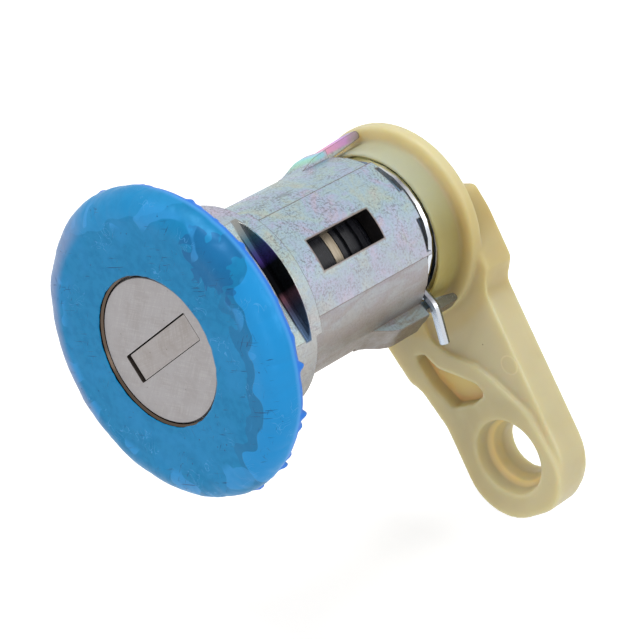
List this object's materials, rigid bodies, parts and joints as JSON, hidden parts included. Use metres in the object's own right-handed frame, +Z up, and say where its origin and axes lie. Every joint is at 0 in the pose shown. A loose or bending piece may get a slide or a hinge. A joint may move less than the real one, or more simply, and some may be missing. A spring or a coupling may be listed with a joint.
{
  "type": "car door lock",
  "caption": "Key lock barrel for a car door: round bezel under blue film, shuttered key slot, die-cast housing with clip flats, return spring and nylon lever.",
  "frame": {"origin": "on the key axis, in the plane of the flange's rear face, which seats on the door skin", "axes": "+Y along the key axis, from the key slot towards the lever; +Z up; the lever hangs towards +X and -Z"},
  "size_m": [0.0392, 0.0426, 0.0457],
  "materials": {
    "film": "thin blue film, creased and dimpled",
    "chrome": "polished plate under the film",
    "steel": "finely scratched, satin",
    "zinc": "die-cast zinc, passivated, faint iridescence",
    "black": "smooth, low sheen",
    "brass": "plain brass, satin",
    "spring": "bright drawn wire and strip",
    "nylon": "moulded natural nylon, slightly translucent"
  },
  "bodies": {
    "housing": {"housing": "zinc", "bezel": "chrome", "protective_film": "film", "return_spring": "spring"},
    "rotor": {"key_plug": "zinc", "face_plate": "steel", "plug_sleeve": "black", "sleeve_ring": "brass", "shutter_pin": "spring", "shutter_spring": "spring", "lever": "nylon", "washer": "steel", "circlip": "spring", "wafer_spring_1": "spring", "wafer_spring_2": "spring", "wafer_spring_3": "spring", "wafer_spring_4": "spring", "wafer_spring_5": "spring", "wafer_spring_6": "spring"},
    "shutter": {"dust_shutter": "steel"},
    "wafer_1": {"wafer_1": "brass"},
    "wafer_2": {"wafer_2": "brass"},
    "wafer_3": {"wafer_3": "brass"},
    "wafer_4": {"wafer_4": "brass"},
    "wafer_5": {"wafer_5": "brass"},
    "wafer_6": {"wafer_6": "brass"}
  },
  "joints": [
    {"name": "key_turn", "type": "hinge", "parent": "housing", "child": "rotor", "pos_m": [0, 0, 0], "axis": [0, 1, 0], "range_deg": [-40, 40], "stiffness_Nm_per_rad": 0.05},
    {"name": "shutter_hinge", "type": "hinge", "parent": "rotor", "child": "shutter", "pos_m": [0.00205, -0.0023, -0.00205], "axis": [-0.7071, 0, -0.7071], "range_deg": [0, 85], "stiffness_Nm_per_rad": 0.0002},
    {"name": "wafer_1_slide", "type": "slide", "parent": "rotor", "child": "wafer_1", "axis": [-0.7071, 0, -0.7071], "range_m": [0, 0.0008], "stiffness_N_per_m": 20},
    {"name": "wafer_2_slide", "type": "slide", "parent": "rotor", "child": "wafer_2", "axis": [-0.7071, 0, -0.7071], "range_m": [0, 0.0008], "stiffness_N_per_m": 20},
    {"name": "wafer_3_slide", "type": "slide", "parent": "rotor", "child": "wafer_3", "axis": [-0.7071, 0, -0.7071], "range_m": [0, 0.0008], "stiffness_N_per_m": 20},
    {"name": "wafer_4_slide", "type": "slide", "parent": "rotor", "child": "wafer_4", "axis": [-0.7071, 0, -0.7071], "range_m": [0, 0.0008], "stiffness_N_per_m": 20},
    {"name": "wafer_5_slide", "type": "slide", "parent": "rotor", "child": "wafer_5", "axis": [-0.7071, 0, -0.7071], "range_m": [0, 0.0008], "stiffness_N_per_m": 20},
    {"name": "wafer_6_slide", "type": "slide", "parent": "rotor", "child": "wafer_6", "axis": [-0.7071, 0, -0.7071], "range_m": [0, 0.0008], "stiffness_N_per_m": 20}
  ]
}
